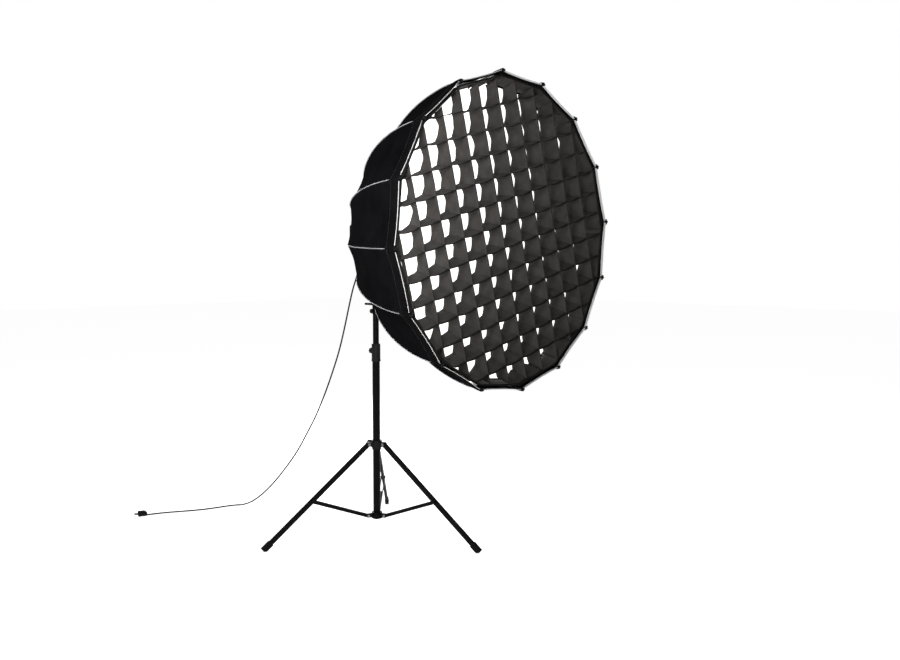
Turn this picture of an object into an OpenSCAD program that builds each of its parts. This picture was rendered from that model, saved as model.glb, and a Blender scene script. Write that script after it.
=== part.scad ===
// Sixteen-sided deep octabox on its lamp head and folding light stand.
// Z is up, the floor is Z = 0, the stand's column is the Z axis, and the octabox faces -Y.

/* [Softbox] */
// Distance across opposite rim corners
rim_d = 1200; // [900:10:1300]
// Angle of the ribs to the lamp's axis at the rim
rim_angle = 6.5; // [4:0.5:9]
// Bend radius of each rib's front stretch
front_bend_r = 964; // [900:1:1000]
// Angle that the front stretch turns through
front_sweep = 31; // [28:1:34]
// Roll of the softbox about the lamp's axis
softbox_roll = 5.8; // [0:0.1:11]
// Thickness of each rib rod
rib_d = 5.5; // [5:0.5:6]
// Width of one cell of the fabric grid
cell_w = 102; // [95:1:110]
// Height of one cell of the fabric grid
cell_h = 87.5; // [80:0.5:95]
// Turn of the grid's cells within the softbox
grid_turn = 8.7; // [0:0.1:11]
// Depth of the fabric grid
grid_depth = 78; // [40:1:80]
// How far the cells sit off the middle of the grid, sideways
grid_shift = 4.5; // [0:0.5:8]

/* [Lamp] */
// Height of the lamp's tilt axis
tilt_z = 1323; // [1320:1:1400]
// Width of the lamp housing
housing_w = 100; // [90:1:100]
// Height of the lamp housing
housing_h = 110; // [100:1:110]
// Radius of the softbox mount's bore
mount_r = 54; // [52:1:56]

/* [Stand] */
// Diameter of the base tube
base_tube_d = 33; // [30:0.5:34]
// Diameter of the riser tube
riser_d = 26.4; // [25:0.2:27]
// Distance from the column to a foot
foot_reach = 515; // [480:5:560]
// Height of the leg pivots
leg_pivot_z = 410; // [400:5:420]
// Turn of the first leg from +X
leg_turn = 43.5; // [0:0.5:90]

/* [Hidden] */
RIBS = 16;
RIB_STEP = 360 / RIBS;
LEGS = [1, 2, 3];
$fn = 48;
gap = 0.05;          // running clearance on a radius
clear = 0.3;         // clearance between parts that only meet

// Softbox shape along the lamp's axis, counted forwards from the tilt axis
rim_r = rim_d / 2;
rib_r = rib_d / 2;
ring_u = 159;        // middle of the speedring
root_r = 95;         // where the straight rib roots begin
bend_end = rim_angle + front_sweep;
rear_bend_r = (rim_r - root_r - front_bend_r * (cos(rim_angle) - cos(bend_end))) / cos(bend_end);
box_depth = front_bend_r * (sin(bend_end) - sin(rim_angle)) + rear_bend_r * (1 - sin(bend_end));
rim_u = ring_u + box_depth;
front_c = [rim_r - front_bend_r * cos(rim_angle), rim_u + front_bend_r * sin(rim_angle)];
rear_c = front_c + (front_bend_r - rear_bend_r) * [cos(bend_end), -sin(bend_end)];
join = front_c + front_bend_r * [cos(bend_end), -sin(bend_end)];
sleeve_r = rib_r + 0.35;
skin_in = sleeve_r + 2 * clear;
skin_out = skin_in + 1.3;
hem = 0.5;           // how far the skin runs past the ribs' front ends
grid_back = 6;       // how far the grid's front sits behind the mouth
grid_cloth = 1.6;    // thickness of the grid's strips

// Lamp
adapter_r = mount_r - gap;
ring_out_r = 72;
mount_u = 100;
mount_len = 34;
pivot_x = housing_w / 2 + 6;
yoke_t = 4;
yoke_base_z = 1066;
bolt_r = 4;

// Column
tube_r = base_tube_d / 2;
riser_r = riser_d / 2;
tube_low = 72;
tube_top = 838;
collar_top = 855;
section_knob_z = 822;
riser_low = 330;
riser_top = 972;
spigot_r = 8;
receiver_z = 986.2;

// Legs and braces
leg_pivot_r = 40;
hub_pivot = [45, 90];
leg_w = 20;
leg_t = 12;
foot_z = 12;
pin_r = 4;
leg_run = foot_reach - leg_pivot_r;
leg_drop = leg_pivot_z - foot_z;
leg_len = norm([leg_run, leg_drop]);
leg_dip = atan2(leg_drop, leg_run);
brace_at = 347;      // distance along a leg from its pivot to the brace's rivet
brace_end = [leg_pivot_r + brace_at * cos(leg_dip), leg_pivot_z - brace_at * sin(leg_dip)];
brace_len = norm(brace_end - hub_pivot);
brace_rise = atan2(brace_end[1] - hub_pivot[1], brace_end[0] - hub_pivot[0]);

// Mains lead: hand-chosen route from the gland to the plug
lead_d = 7;
lead_sides = 8;
lead_rings = 76;
gland_y = 104;
LEAD = [
    [0, gland_y, 1246], [-1, 106, 1220], [-2, 112, 1190], [-4, 123, 1151], [-9, 146, 1090],
    [-13, 170, 1010], [-19, 200, 900], [-25, 232, 800], [-33, 272, 700], [-41, 318, 600],
    [-51, 370, 500], [-62, 430, 405], [-73, 496, 310], [-90, 574, 216], [-106, 650, 136],
    [-121, 724, 72], [-136, 790, 28], [-152, 840, 7], [-180, 868, 3.6], [-220, 882, 3.6],
    [-270, 892, 3.6], [-330, 908, 3.6], [-390, 934, 3.6], [-450, 966, 3.6], [-508, 994, 3.6],
    [-562, 1012, 3.6]
];
plug_len = 52;

// ---- shared helpers ----

// Local +Z is forwards along the lamp's axis and local +Y is up
module on_lamp() translate([0, 0, tilt_z]) rotate([90, 0, 0]) children();
module rolled() on_lamp() rotate([0, 0, softbox_roll]) children();
module at_leg(i) rotate([0, 0, leg_turn + (i - 1) * 120]) children();

// Closed 16-sided outline with corners on the ribs
module sixteen(r) polygon([for (i = [0:RIBS - 1]) r * [cos(90 + i * RIB_STEP), sin(90 + i * RIB_STEP)]]);

module rounded_rect(w, h, r) {
    square([w - 2 * r, h], center = true);
    square([w, h - 2 * r], center = true);
    for (x = [-1, 1], y = [-1, 1]) translate([x * (w / 2 - r), y * (h / 2 - r)]) circle(r);
}

module tube(r_out, r_in, h) difference() {
    cylinder(r = r_out, h = h);
    translate([0, 0, -1]) cylinder(r = r_in, h = h + 2);
}

// Bar between two round eyes, lying along +X, thickness along Y
module eyed_bar(len, w, t, hole_a, hole_b) rotate([90, 0, 0]) difference() {
    translate([0, 0, -t / 2]) linear_extrude(t) {
        translate([0, -w / 2]) square([len, w]);
        circle(w / 2);
        translate([len, 0]) circle(w / 2);
    }
    translate([0, 0, -t]) cylinder(r = hole_a, h = 2 * t);
    translate([len, 0, -t]) cylinder(r = hole_b, h = 2 * t);
}

// Knob with a fluted head on a plain shaft, along +X from its tip
module knob(tip, shaft_end, head_r, head_t) rotate([0, 90, 0]) {
    translate([0, 0, tip]) cylinder(r = 4, h = shaft_end - tip);
    translate([0, 0, shaft_end]) difference() {
        cylinder(r = head_r, h = head_t);
        for (a = [0:45:359]) rotate([0, 0, a + 22.5]) translate([head_r + 1.2, 0, -1])
            cylinder(r = 3, h = head_t + 2);
    }
}

// ---- column ----

module base_tube() color("dimgray") translate([0, 0, tube_low])
    tube(tube_r, tube_r - 1.5, tube_top - tube_low);

module foot_hub() color("black") difference() {
    union() {
        translate([0, 0, 75]) cylinder(r = 24, h = 27);
        for (i = LEGS) at_leg(i) {
            translate([hub_pivot[0], 0, hub_pivot[1]]) rotate([90, 0, 0])
                cylinder(r = 9, h = leg_t, center = true);
            translate([20, -leg_t / 2, hub_pivot[1] - 9]) cube([hub_pivot[0] - 20, leg_t, 18]);
        }
    }
    translate([0, 0, 60]) cylinder(r = tube_r + gap, h = 60);
    for (i = LEGS) at_leg(i) translate([hub_pivot[0], 0, hub_pivot[1]]) rotate([90, 0, 0])
        cylinder(r = pin_r + gap, h = 40, center = true);
}

module pin(half, head_r) rotate([90, 0, 0]) {
    cylinder(r = pin_r, h = 2 * half + 2, center = true);
    for (s = [-1, 1]) translate([0, 0, s * (half + 1.1)]) cylinder(r = head_r, h = 2, center = true);
}

module hub_pins() color("silver") for (i = LEGS) at_leg(i)
    translate([hub_pivot[0], 0, hub_pivot[1]]) pin(9.8, 6);

module section_collar() color("black") difference() {
    union() {
        translate([0, 0, 778]) cylinder(r = 20.2, h = 8);
        translate([0, 0, 786]) cylinder(r = 19.2, h = collar_top - 786);
        translate([0, 0, 822]) rotate([0, 0, 80]) rotate([0, 90, 0]) cylinder(r = 9, h = 27);
    }
    translate([0, 0, 770]) cylinder(r = tube_r + gap, h = tube_top - 770);
    translate([0, 0, 800]) cylinder(r = riser_r + gap, h = 80);
    translate([0, 0, 822]) rotate([0, 0, 80]) rotate([0, 90, 0]) cylinder(r = 4 + gap, h = 40);
}

module section_knob() color("black") translate([0, 0, section_knob_z]) rotate([0, 0, 80])
    knob(tube_r + 0.6, 28, 13, 14);

// ---- folding leg assembly ----

module ears(z_pivot, r_pivot) for (i = LEGS) at_leg(i) for (s = [-1, 1])
    translate([0, s * (leg_t / 2 + 0.25 + 2), 0]) {
        translate([r_pivot, 0, z_pivot]) rotate([90, 0, 0]) cylinder(r = 9.5, h = 4, center = true);
        translate([12, -2, z_pivot - 9.5]) cube([r_pivot - 12, 4, 19]);
    }

module leg_collar() color("black") difference() {
    union() {
        translate([0, 0, 394]) cylinder(r = 24, h = 32);
        translate([0, 0, 384]) cylinder(r = 20, h = 12);
        ears(leg_pivot_z, leg_pivot_r);
        translate([0, 0, leg_pivot_z]) rotate([0, 0, 103.5]) rotate([0, 90, 0]) cylinder(r = 9, h = 30);
    }
    translate([0, 0, 370]) cylinder(r = tube_r + gap, h = 80);
    for (i = LEGS) at_leg(i) {
        translate([leg_pivot_r, 0, leg_pivot_z]) rotate([90, 0, 0])
            cylinder(r = pin_r + gap, h = 40, center = true);
        translate([leg_pivot_r - 11, -leg_t / 2 - 0.25, 380]) cube([40, leg_t + 0.5, 60]);
    }
    translate([0, 0, leg_pivot_z]) rotate([0, 0, 103.5]) rotate([0, 90, 0]) cylinder(r = 4 + gap, h = 40);
}

module collar_pins() color("silver") for (i = LEGS) at_leg(i)
    translate([leg_pivot_r, 0, leg_pivot_z]) pin(10.6, 6);

module collar_knob() color("black") translate([0, 0, leg_pivot_z]) rotate([0, 0, leg_turn + 60])
    knob(tube_r + 0.6, 31, 14, 14);

module along_leg(i) at_leg(i) translate([leg_pivot_r, 0, leg_pivot_z]) rotate([0, leg_dip, 0]) children();

// Flat tube with a solid, rounded eye at its top
module leg(i) color("dimgray") along_leg(i) difference() {
    union() {
        rotate([90, 0, 0]) cylinder(r = leg_w / 2, h = leg_t, center = true);
        translate([0, -leg_t / 2, -leg_w / 2]) cube([leg_len, leg_t, leg_w]);
    }
    translate([60, -leg_t / 2 + 1.5, -leg_w / 2 + 1.5]) cube([leg_len, leg_t - 3, leg_w - 3]);
    rotate([90, 0, 0]) cylinder(r = pin_r + gap, h = 2 * leg_t, center = true);
}

// Rubber shoe, cut flat where it stands on the floor
module foot(i) color("black") intersection() {
    along_leg(i) difference() {
        translate([leg_len - 32, -leg_t / 2 - 2.5, -leg_w / 2 - 2.5]) cube([46, leg_t + 5, leg_w + 5]);
        translate([leg_len - 40, -leg_t / 2 - gap, -leg_w / 2 - gap])
            cube([40 + gap, leg_t + 2 * gap, leg_w + 2 * gap]);
    }
    translate([0, 0, 500]) cube([2000, 2000, 1000], center = true);
}

// Channel-section brace whose open end straddles the leg
module brace(i) color("dimgray") at_leg(i) translate([hub_pivot[0], 0, hub_pivot[1]])
    rotate([0, -brace_rise, 0]) {
    for (s = [-1, 1]) translate([0, s * (leg_t / 2 + 2), 0]) eyed_bar(brace_len, 15, 3, pin_r + gap, 3);
    translate([20, -leg_t / 2 - 0.6, 5]) cube([130, leg_t + 1.2, 2.5]);
    for (s = [-1, 1]) translate([brace_len, s * (leg_t / 2 + 2.6), 0]) rotate([90, 0, 0])
        cylinder(r = 3, h = 4, center = true);
    for (s = [-1, 1]) translate([brace_len, s * (leg_t / 2 + 4.4), 0]) rotate([90, 0, 0])
        cylinder(r = 5.5, h = 2, center = true);
}

// ---- riser ----

module riser_tube() color("dimgray") translate([0, 0, riser_low])
    tube(riser_r, riser_r - 1.2, riser_top - riser_low);

module riser_bush() color("black") translate([0, 0, riser_low])
    tube(tube_r - 1.5 - gap, riser_r + 0.01, 30);

module spigot() color("silver") {
    translate([0, 0, riser_top - 22]) cylinder(r = riser_r - 1.2 - gap, h = 22);
    translate([0, 0, riser_top]) cylinder(r = riser_r, h = 14);
    translate([0, 0, riser_top + 14]) cylinder(r = spigot_r, h = 10);
    translate([0, 0, riser_top + 24]) cylinder(r = spigot_r - 1.5, h = 8);
    translate([0, 0, riser_top + 32]) cylinder(r = spigot_r, h = 38);
    translate([0, 0, riser_top + 70]) cylinder(r1 = spigot_r, r2 = spigot_r - 2, h = 3);
}

// ---- receiver and yoke ----

knob_a_z = 1032;
knob_b_z = 1000;

module receiver() color("black") difference() {
    union() {
        translate([0, 0, receiver_z]) cylinder(r = 15, h = 1056 - receiver_z);
        translate([0, 0, 1056]) cylinder(r = 22, h = yoke_base_z - 1056);
        for (z = [knob_a_z, knob_b_z]) translate([0, 0, z]) rotate([0, -90, 0]) cylinder(r = 8, h = 19);
    }
    translate([0, 0, receiver_z - 1]) cylinder(r = spigot_r + gap, h = 64);
    for (z = [knob_a_z, knob_b_z]) translate([0, 0, z]) rotate([0, -90, 0]) cylinder(r = 4 + gap, h = 30);
}

module receiver_knob() color("black") translate([0, 0, knob_a_z]) rotate([0, 0, 180]) {
    rotate([0, 90, 0]) translate([0, 0, spigot_r + 0.4]) cylinder(r = 4, h = 30);
    translate([42, 0, 0]) rotate([90, 0, 0]) cylinder(r = 5, h = 40, center = true);
}

module receiver_screw() color("black") translate([0, 0, knob_b_z]) rotate([0, 0, 180])
    knob(spigot_r + 0.4, 20, 10, 8);

module yoke() color("black") difference() {
    union() {
        for (s = [-1, 1]) translate([s * (pivot_x + yoke_t / 2), 0, 0]) {
            translate([-yoke_t / 2, -15, yoke_base_z]) cube([yoke_t, 30, tilt_z - yoke_base_z]);
            translate([0, 0, tilt_z]) rotate([0, 90, 0]) cylinder(r = 15, h = yoke_t, center = true);
        }
        translate([-pivot_x - yoke_t, -15, yoke_base_z]) cube([2 * (pivot_x + yoke_t), 30, yoke_t + 1]);
        translate([0, 0, yoke_base_z]) cylinder(r = 22, h = yoke_t + 1);
    }
    translate([-100, 0, tilt_z]) rotate([0, 90, 0]) cylinder(r = bolt_r + gap, h = 200);
}

module pivot_bolts() color("silver") for (s = [-1, 1]) translate([0, 0, tilt_z]) rotate([0, s * 90, 0]) {
    reach = s > 0 ? pivot_x + yoke_t : pivot_x + yoke_t + 12.4;
    translate([0, 0, pivot_x - 12]) cylinder(r = bolt_r, h = reach - pivot_x + 13);
    translate([0, 0, reach + 0.1]) cylinder(r = 9, h = 4);
}

module tilt_lever() color("black") translate([-pivot_x - yoke_t - 0.15, 0, tilt_z])
    rotate([0, -90, 0]) difference() {
    union() {
        cylinder(r = 12, h = 12);
        translate([-66, -5, 2]) cube([60, 10, 8]);
        translate([-66, 0, 2]) cylinder(r = 5, h = 8);
    }
    translate([0, 0, -1]) cylinder(r = bolt_r + gap, h = 14);
}

// ---- lamp head ----

housing_back = -95;

module lamp_housing() color("dimgray") difference() {
    union() {
        on_lamp() translate([0, 0, housing_back]) linear_extrude(mount_u - housing_back)
            rounded_rect(housing_w, housing_h, 10);
        for (s = [-1, 1])
            translate([0, 0, tilt_z]) rotate([0, s * 90, 0]) translate([0, 0, housing_w / 2 - 8])
            cylinder(r = 13, h = pivot_x - housing_w / 2 + 7.8);
    }
    on_lamp() translate([0, 0, housing_back - 1]) linear_extrude(mount_u - housing_back - 2)
        rounded_rect(housing_w - 5, housing_h - 5, 7.5);
    on_lamp() translate([0, 0, mount_u - 10]) cylinder(r = 26, h = 20);
    translate([-80, 0, tilt_z]) rotate([0, 90, 0]) cylinder(r = bolt_r + gap, h = 160);
    for (s = [-1, 1], n = [0:5], v = [-1, 1]) on_lamp()
        translate([s * housing_w / 2, v * 30, -70 + n * 9 + (n > 2 ? 70 : 0)])
            cube([12, 32, 4], center = true);
}

module rear_cover() color("black") on_lamp() difference() {
    translate([0, 0, housing_back - 20]) linear_extrude(19.8) rounded_rect(housing_w, housing_h, 10);
    translate([0, 0, housing_back - 17]) linear_extrude(20) rounded_rect(housing_w - 6, housing_h - 6, 7);
    for (n = [0:4]) translate([0, -44 + n * 5, housing_back - 19]) cube([50, 2.5, 10], center = true);
    translate([0, 24, housing_back - 19]) cube([56, 22, 10], center = true);
    translate([28, -8, housing_back - 30]) cylinder(r = 6, h = 20);
    translate([-30, -8, housing_back - 19]) cube([14, 20, 10], center = true);
    for (x = [-1, 1], y = [-1, 1]) translate([x * 41, y * 46, housing_back - 30]) cylinder(r = 2.1, h = 20);
    translate([0, -housing_h / 2, -gland_y]) rotate([90, 0, 0]) cylinder(r = 5.2, h = 20, center = true);
}

module cover_screws() color("silver") on_lamp() for (x = [-1, 1], y = [-1, 1])
    translate([x * 41, y * 46, housing_back - 22]) {
        translate([0, 0, 1]) cylinder(r = 2, h = 9);
        cylinder(r = 3.5, h = 1.9);
    }

module heat_sink() color("silver") on_lamp() {
    translate([0, 0, 84]) cube([82, 88, 8], center = true);
    for (n = [-5:5]) translate([n * 8, 0, 25]) cube([2, 88, 110.2], center = true);
}

module led_emitter() color("khaki") on_lamp() {
    translate([0, 0, 88.1]) cylinder(r = 21, h = 3);
    translate([0, 0, 91.1]) cylinder(r = 16, h = 2);
}

module lamp_glass() color("lightblue") on_lamp() translate([0, 0, mount_u + 0.1])
    cylinder(r = mount_r - 0.1, h = 3);

module fan_rotor() color("black") on_lamp() translate([0, 0, -60]) {
    cylinder(r = 15, h = 16);
    for (a = [0:RIB_STEP * 2:359]) rotate([0, 0, a]) translate([24, 0, 8]) rotate([35, 0, 0])
        cube([22, 2, 16], center = true);
}

module display() color("darkslategray") on_lamp() translate([0, 24, housing_back - 18.4])
    cube([55.6, 21.6, 3], center = true);

module dial() color("gray") on_lamp() translate([28, -8, housing_back - 30]) {
    translate([0, 0, 4]) cylinder(r = 5.9, h = 14);
    difference() {
        cylinder(r = 9.5, h = 9.4);
        for (a = [0:30:359]) rotate([0, 0, a]) translate([10.2, 0, -1]) cylinder(r = 1.2, h = 11);
    }
}

module power_switch() color("black") on_lamp() translate([-30, -8, housing_back - 16]) rotate([0, 90, 0])
    difference() {
        union() {
            cylinder(r = 6, h = 12, center = true);
            translate([2, 0, 0]) cube([6, 14, 12], center = true);
        }
        translate([0, 0, -10]) cylinder(r = 1.5, h = 20);
    }

module cable_gland() color("black") on_lamp() translate([0, -housing_h / 2, -gland_y]) rotate([90, 0, 0]) {
    translate([0, 0, -6]) cylinder(r = 5, h = 6.1);
    cylinder(r = 8, h = 5);
    translate([0, 0, 5]) cylinder(r1 = 6.5, r2 = 4.4, h = 17);
}

module mount_ring() color("silver") on_lamp() translate([0, 0, mount_u]) difference() {
    cylinder(r = ring_out_r, h = mount_len);
    translate([0, 0, -1]) cylinder(r = mount_r, h = mount_len + 2);
    translate([0, 0, 7]) cylinder(r = mount_r + 7, h = 12);
    for (a = [0:120:240]) rotate([0, 0, a + 40 + softbox_roll]) translate([0, 0, 18])
        rotate_extrude(angle = 38)
        translate([mount_r - 2, 0]) square([8.5, 20]);
}

module release_lever() color("black") on_lamp() rotate([0, 0, 60]) {
    translate([ring_out_r + 0.3, -6, mount_u + 4]) cube([7, 12, 16]);
    translate([ring_out_r + 7.3, -9, mount_u + 4]) cube([4, 18, 22]);
}

// ---- softbox ----

module bayonet_adapter() color("silver") rolled() difference() {
    union() {
        translate([0, 0, 105]) cylinder(r = adapter_r, h = 42);
        translate([0, 0, 134.4]) cylinder(r = 80, h = 12.5);
        for (a = [0:120:240]) rotate([0, 0, a]) translate([0, 0, 109]) rotate_extrude(angle = 34)
            translate([mount_r - 5, 0]) square([11, 8]);
    }
    translate([0, 0, 100]) cylinder(r = mount_r - 6, h = 60);
}

module speedring() color("dimgray") rolled() difference() {
    translate([0, 0, ring_u - 12]) cylinder(r = 92, h = 24);
    translate([0, 0, ring_u - 13]) cylinder(r = 68, h = 26);
    for (i = [0:RIBS - 1]) rotate([0, 0, 90 + i * RIB_STEP]) translate([77, 0, ring_u]) rotate([0, 90, 0])
        cylinder(r = rib_r + gap, h = 30);
}

// One rib: straight root in the ring, then two tangent bends out to the rim, with a sleeve at each joint
module rib(i) rotate([0, 0, 90 + i * RIB_STEP]) {
    translate([78, 0, ring_u]) rotate([0, 90, 0]) cylinder(r = rib_r, h = root_r - 76);
    translate([rear_c[0], 0, rear_c[1]]) rotate([90, 0, 0]) rotate([0, 0, -89.4])
        rotate_extrude(angle = 89.2 - bend_end) translate([rear_bend_r, 0]) circle(rib_r);
    translate([front_c[0], 0, front_c[1]]) rotate([90, 0, 0]) rotate([0, 0, 0.1 - bend_end])
        rotate_extrude(angle = front_sweep - 0.1) translate([front_bend_r, 0]) circle(rib_r);
    translate([root_r - 1, 0, ring_u]) rotate([0, 90, 0]) cylinder(r = sleeve_r, h = 10);
    translate([join[0], 0, join[1]]) rotate([0, bend_end, 0]) cylinder(r = sleeve_r, h = 14, center = true);
}

module rib_pair(n) color("gray") rolled() {
    rib(n - 1);
    rib(n + 7);
}

// Moulded caps on the ribs' front ends
module rib_tips() color("black") rolled() for (i = [0:RIBS - 1]) rotate([0, 0, 90 + i * RIB_STEP])
    translate([rim_r, 0, rim_u]) rotate([0, rim_angle, 0]) {
        translate([0, 0, 0.8]) cylinder(r = 5, h = 8);
        translate([0, 0, 4.8]) rotate([0, 90, 0]) cylinder(r = 4, h = 7.5);
    }

// Points [radius, height] of a curve that runs off the ribs' centre line by out
function front_curve(out, n) = [for (k = [0:n]) let (a = rim_angle + front_sweep * k / n)
    front_c + (front_bend_r + out) * [cos(a), -sin(a)]];
function rear_curve(out, n) = [for (k = [1:n]) let (a = bend_end + (90 - bend_end) * k / n)
    rear_c + (rear_bend_r + out) * [cos(a), -sin(a)]];
function rib_curve(out) = concat(front_curve(out, 12), rear_curve(out, 12));
function reversed(list) = [for (i = [len(list) - 1:-1:0]) list[i]];

// Solid of one closed outline [radius, height], carried round sixteen corners
module sixteen_sided(outline) {
    m = len(outline);
    points = [for (i = [0:RIBS - 1], p = outline)
        [p[0] * cos(90 + i * RIB_STEP), p[0] * sin(90 + i * RIB_STEP), p[1]]];
    faces = [for (i = [0:RIBS - 1], j = [0:m - 1])
        let (a = i * m, b = ((i + 1) % RIBS) * m, k = (j + 1) % m)
        [a + j, b + j, b + k, a + k]];
    polyhedron(points, faces, convexity = 4);
}

module skin() color([0.08, 0.08, 0.09]) rolled() {
    outer = rib_curve(skin_out);
    inner = rib_curve(skin_in);
    front_out = outer[0] + [0.8, hem];
    front_in = inner[0] + [0.8, hem];
    sixteen_sided(concat([front_out], outer, reversed(inner), [front_in]));
}

module panel(r, u, t) rolled() translate([0, 0, u]) linear_extrude(t) sixteen(r);

module inner_baffle() color("white") panel(452, rim_u - 330, 1);

module front_diffuser() color("white") panel(rim_r - 22, rim_u - grid_depth - grid_back - 7, 1);

module grid() color([0.2, 0.2, 0.2]) rolled() translate([0, 0, rim_u - grid_depth - grid_back])
    linear_extrude(grid_depth) difference() {
        sixteen(rim_r - 18);
        intersection() {
            sixteen(rim_r - 20);
            rotate(grid_turn) for (x = [-6:6], y = [-6:6]) translate([x * cell_w + grid_shift, y * cell_h])
                square([cell_w - grid_cloth, cell_h - grid_cloth], center = true);
        }
    }

// ---- mains lead ----

// Point at t along a smooth curve through the route
function spline(p, a, b, q, t) = 0.5 * (2 * a + (b - p) * t + (2 * p - 5 * a + 4 * b - q) * t * t
    + (3 * a - p - 3 * b + q) * t * t * t);
function on_route(s) = let (n = len(LEAD) - 1, i = min(floor(s), n - 1), t = s - i)
    spline(LEAD[max(i - 1, 0)], LEAD[i], LEAD[i + 1], LEAD[min(i + 2, n)], t);
function unit(v) = v / norm(v);

module power_lead() color("black") {
    spans = len(LEAD) - 1;
    centres = [for (k = [0:lead_rings - 1]) on_route(spans * k / (lead_rings - 1))];
    ahead = [for (k = [0:lead_rings - 1])
        k == 0 ? [0, 0, -1] : unit(centres[min(k + 1, lead_rings - 1)] - centres[k - 1])];
    points = [for (k = [0:lead_rings - 1], j = [0:lead_sides - 1])
        let (side = unit(cross(ahead[k], [0.8, -0.6, 0])), up = cross(side, ahead[k]))
        let (a = 360 * j / lead_sides)
        centres[k] + lead_d / 2 * (cos(a) * side + sin(a) * up)];
    last = (lead_rings - 1) * lead_sides;
    faces = concat(
        [[for (j = [lead_sides - 1:-1:0]) j]],
        [for (k = [0:lead_rings - 2], j = [0:lead_sides - 1])
            let (a = k * lead_sides, n = (j + 1) % lead_sides)
            [a + j, a + n, a + lead_sides + n, a + lead_sides + j]],
        [[for (j = [0:lead_sides - 1]) last + j]]
    );
    polyhedron(points, faces, convexity = 6);
}

// Mains plug lying on the floor, two round pins ahead of its body
module plug() color("black") {
    end = LEAD[len(LEAD) - 1];
    back = end - on_route(len(LEAD) - 1.2);
    translate([end[0], end[1], 0]) rotate([0, 0, atan2(back[1], back[0])]) {
        translate([0.3, 0, 4]) rotate([0, 90, 0]) cylinder(r = 3.9, h = 14);
        translate([14, -17, 0.1]) cube([plug_len - 14, 34, 26]);
        for (y = [-9, 9]) translate([plug_len, y, 13]) rotate([0, 90, 0]) cylinder(r = 2.4, h = 19);
    }
}

// ---- assembly ----

base_tube();
foot_hub();
hub_pins();
section_collar();
section_knob();
leg_collar();
collar_pins();
collar_knob();
for (i = LEGS) leg(i);
for (i = LEGS) foot(i);
for (i = LEGS) brace(i);
riser_tube();
riser_bush();
spigot();
receiver();
receiver_knob();
receiver_screw();
yoke();
pivot_bolts();
tilt_lever();
lamp_housing();
rear_cover();
cover_screws();
mount_ring();
release_lever();
heat_sink();
led_emitter();
lamp_glass();
fan_rotor();
display();
dial();
power_switch();
cable_gland();
power_lead();
plug();
bayonet_adapter();
speedring();
for (i = [1:8]) rib_pair(i);
rib_tips();
skin();
inner_baffle();
front_diffuser();
grid();
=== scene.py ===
import math

import bpy
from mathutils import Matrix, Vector, noise


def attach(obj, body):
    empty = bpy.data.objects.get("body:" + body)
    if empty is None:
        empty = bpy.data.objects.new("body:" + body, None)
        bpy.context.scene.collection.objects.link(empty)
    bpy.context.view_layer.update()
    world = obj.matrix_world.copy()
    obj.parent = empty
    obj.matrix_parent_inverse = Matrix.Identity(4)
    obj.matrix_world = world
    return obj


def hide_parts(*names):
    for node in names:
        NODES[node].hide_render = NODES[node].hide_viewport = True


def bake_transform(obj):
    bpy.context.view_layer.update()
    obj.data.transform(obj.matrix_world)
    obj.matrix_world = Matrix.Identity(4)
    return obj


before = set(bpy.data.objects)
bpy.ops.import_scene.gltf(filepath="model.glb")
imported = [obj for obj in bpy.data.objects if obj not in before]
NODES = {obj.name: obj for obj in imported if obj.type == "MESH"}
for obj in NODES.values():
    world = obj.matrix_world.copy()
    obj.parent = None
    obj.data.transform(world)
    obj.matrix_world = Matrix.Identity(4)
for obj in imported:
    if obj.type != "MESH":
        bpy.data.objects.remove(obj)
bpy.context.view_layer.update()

# ---- camera ----

CAMERA_AT = (-2.7049, -3.1271, 1.2307)
CAMERA_PITCH, CAMERA_YAW = math.radians(85.629), math.radians(-45.385)
camera_data = bpy.data.cameras.new("camera")
camera_data.lens = 37.567
camera_data.sensor_width = 36
camera_data.clip_start, camera_data.clip_end = 0.05, 60
camera = bpy.data.objects.new("camera", camera_data)
bpy.context.collection.objects.link(camera)
camera.location = CAMERA_AT
camera.rotation_euler = (CAMERA_PITCH, 0, CAMERA_YAW)
bpy.context.scene.camera = camera
bpy.context.scene.view_settings.view_transform = "Standard"


# ---- mesh helpers ----


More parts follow.
